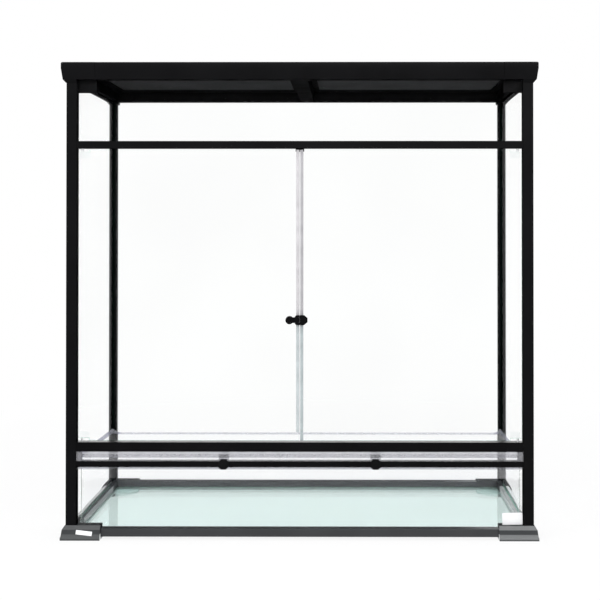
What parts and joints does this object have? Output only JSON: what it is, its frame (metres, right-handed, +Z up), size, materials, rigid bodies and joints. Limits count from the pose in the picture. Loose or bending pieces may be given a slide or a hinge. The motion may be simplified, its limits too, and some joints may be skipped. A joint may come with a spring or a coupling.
{
  "type": "terrarium cabinet",
  "caption": "Framed glass terrarium cabinet with a raised floor, paired front doors, a lifting vent sash and lift-out mesh screens in the top.",
  "frame": {"origin": "centre of the footprint, on the floor under the feet", "axes": "+Z up, -Y out of the front through the doors, +X to the right as seen from the front"},
  "size_m": [0.914, 0.457, 0.914],
  "materials": {
    "frame_black": "satin black",
    "base_plastic": "satin dark grey",
    "glass": "clear, slightly green at the edges",
    "seal": "translucent grey, soft",
    "clear_plastic": "clear",
    "steel": "brushed",
    "mesh": "woven wire, painted black",
    "sash": "translucent grey",
    "guide": "translucent dark grey",
    "liner": "clear sheet, faintly blue"
  },
  "bodies": {
    "cabinet": {"base_corner_front_left": "base_plastic", "base_corner_front_right": "base_plastic", "base_corner_rear_left": "base_plastic", "base_corner_rear_right": "base_plastic", "base_bar_front": "base_plastic", "base_bar_rear": "base_plastic", "base_bar_left": "base_plastic", "base_bar_right": "base_plastic", "post_front_left": "frame_black", "post_front_right": "frame_black", "post_rear_left": "frame_black", "post_rear_right": "frame_black", "top_corner_front_left": "frame_black", "top_corner_front_right": "frame_black", "top_corner_rear_left": "frame_black", "top_corner_rear_right": "frame_black", "top_bar_front": "frame_black", "top_bar_rear": "frame_black", "top_bar_left": "frame_black", "top_bar_right": "frame_black", "top_crossbar": "frame_black", "header_rail": "frame_black", "sill_rail": "frame_black", "lower_rail": "frame_black", "door_stop": "frame_black", "floor_glass": "glass", "rear_glass": "glass", "side_glass_left": "glass", "side_glass_right": "glass", "upper_front_glass": "glass", "lower_front_glass": "glass", "lower_pane_gasket": "seal", "vent_guides": "guide", "liner_tray": "liner"},
    "door_left": {"door_glass_left": "glass", "door_seal_left": "seal", "hinge_shoes_left": "clear_plastic", "hinge_pins_left": "steel", "latch_case": "frame_black"},
    "door_right": {"door_glass_right": "glass", "door_seal_right": "seal", "hinge_shoes_right": "clear_plastic", "hinge_pins_right": "steel", "latch_keeper": "frame_black"},
    "latch_turn": {"latch_knob": "frame_black", "latch_crank": "steel"},
    "latch_slide": {"latch_bolt": "steel"},
    "vent": {"vent_sash": "sash", "vent_tabs": "frame_black", "vent_tab_clamps": "guide"},
    "screen_left": {"screen_frame_left": "frame_black", "screen_mesh_left": "mesh"},
    "screen_right": {"screen_frame_right": "frame_black", "screen_mesh_right": "mesh"}
  },
  "joints": [
    {"name": "door_left_hinge", "type": "hinge", "parent": "cabinet", "child": "door_left", "pos_m": [-0.41825, -0.211, 0.4675], "axis": [0, 0, -1], "range_deg": [0, 105]},
    {"name": "door_right_hinge", "type": "hinge", "parent": "cabinet", "child": "door_right", "pos_m": [0.41825, -0.211, 0.4675], "axis": [0, 0, 1], "range_deg": [0, 105]},
    {"name": "latch_knob_turn", "type": "hinge", "parent": "door_left", "child": "latch_turn", "pos_m": [-0.0194, -0.2215, 0.4195], "axis": [0, 1, 0], "range_deg": [0, 120]},
    {"name": "latch_bolt_slide", "type": "slide", "parent": "door_left", "child": "latch_slide", "axis": [1, 0, 0], "range_m": [0, 0.00485]},
    {"name": "vent_lift", "type": "slide", "parent": "cabinet", "child": "vent", "axis": [0, 0, 1], "range_m": [0, 0.012]},
    {"name": "screen_left_lift", "type": "slide", "parent": "cabinet", "child": "screen_left", "axis": [0, 0, 1], "range_m": [0, 0.1]},
    {"name": "screen_right_lift", "type": "slide", "parent": "cabinet", "child": "screen_right", "axis": [0, 0, 1], "range_m": [0, 0.1]}
  ],
  "couplings": [
    {"joint": "latch_knob_turn", "follows": "latch_bolt_slide", "rad_per_m": 431.8}
  ]
}
